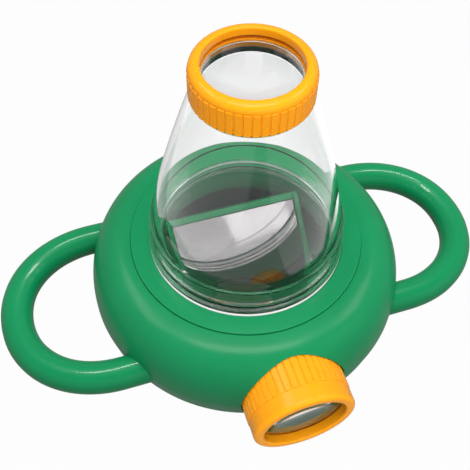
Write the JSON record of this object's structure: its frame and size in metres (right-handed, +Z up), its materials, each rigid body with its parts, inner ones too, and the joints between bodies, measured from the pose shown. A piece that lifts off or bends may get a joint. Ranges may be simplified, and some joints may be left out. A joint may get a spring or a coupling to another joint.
{
  "type": "two-way insect viewer",
  "caption": "Handheld insect viewer: clear chamber with a magnifying eyepiece on top, side eyepiece that sees it from below by a mirror, domed base with loop handles.",
  "frame": {"origin": "middle of the flat underside of the housing, on the axis of the clear chamber", "axes": "+Z up along the chamber's axis; X along the two handles; the side eyepiece looks towards -Y"},
  "size_m": [0.2092, 0.1402, 0.1341],
  "materials": {
    "green_plastic": "moulded, glossy",
    "yellow_plastic": "moulded, glossy",
    "clear_plastic": "clear, polished",
    "lens_plastic": "clear, polished",
    "mirror_silver": "silvered sheet",
    "screw_steel": "plated"
  },
  "bodies": {
    "housing": {"upper_housing": "green_plastic", "lower_housing": "green_plastic", "left_handle": "green_plastic", "right_handle": "green_plastic", "seat_ring": "green_plastic", "chamber_cup": "clear_plastic", "mirror": "mirror_silver", "mirror_bracket": "green_plastic", "eyepiece_tube": "green_plastic", "housing_screw_1": "screw_steel", "housing_screw_2": "screw_steel", "housing_screw_3": "screw_steel", "housing_screw_4": "screw_steel", "handle_screw_1": "screw_steel", "handle_screw_2": "screw_steel", "handle_screw_3": "screw_steel", "handle_screw_4": "screw_steel", "bracket_screw_1": "screw_steel", "bracket_screw_2": "screw_steel"},
    "chamber": {"viewing_chamber": "clear_plastic"},
    "top_lens_seat": {"top_lens": "lens_plastic", "top_lens_retainer": "yellow_plastic"},
    "top_ring": {"top_lens_ring": "yellow_plastic"},
    "side_lens_seat": {"side_lens": "lens_plastic", "side_lens_retainer": "yellow_plastic"},
    "side_ring": {"side_lens_ring": "yellow_plastic"}
  },
  "joints": [
    {"name": "chamber_lift", "type": "slide", "parent": "housing", "child": "chamber", "axis": [0, 0, 1], "range_m": [0, 0.06]},
    {"name": "top_lens_travel", "type": "slide", "parent": "chamber", "child": "top_lens_seat", "axis": [0, 0, 1], "range_m": [0, 0.003]},
    {"name": "top_ring_turn", "type": "hinge", "parent": "top_lens_seat", "child": "top_ring", "pos_m": [0, 0, 0.12], "axis": [0, 0, 1], "range_deg": [0, 360]},
    {"name": "side_lens_travel", "type": "slide", "parent": "housing", "child": "side_lens_seat", "axis": [0, -1, 0], "range_m": [0, 0.003]},
    {"name": "side_ring_turn", "type": "hinge", "parent": "side_lens_seat", "child": "side_ring", "pos_m": [0, -0.065, 0.0213], "axis": [0, -1, 0], "range_deg": [0, 360]}
  ],
  "couplings": [
    {"joint": "top_lens_travel", "follows": "top_ring_turn", "m_per_rad": 0.00047746},
    {"joint": "side_lens_travel", "follows": "side_ring_turn", "m_per_rad": 0.00047746}
  ]
}
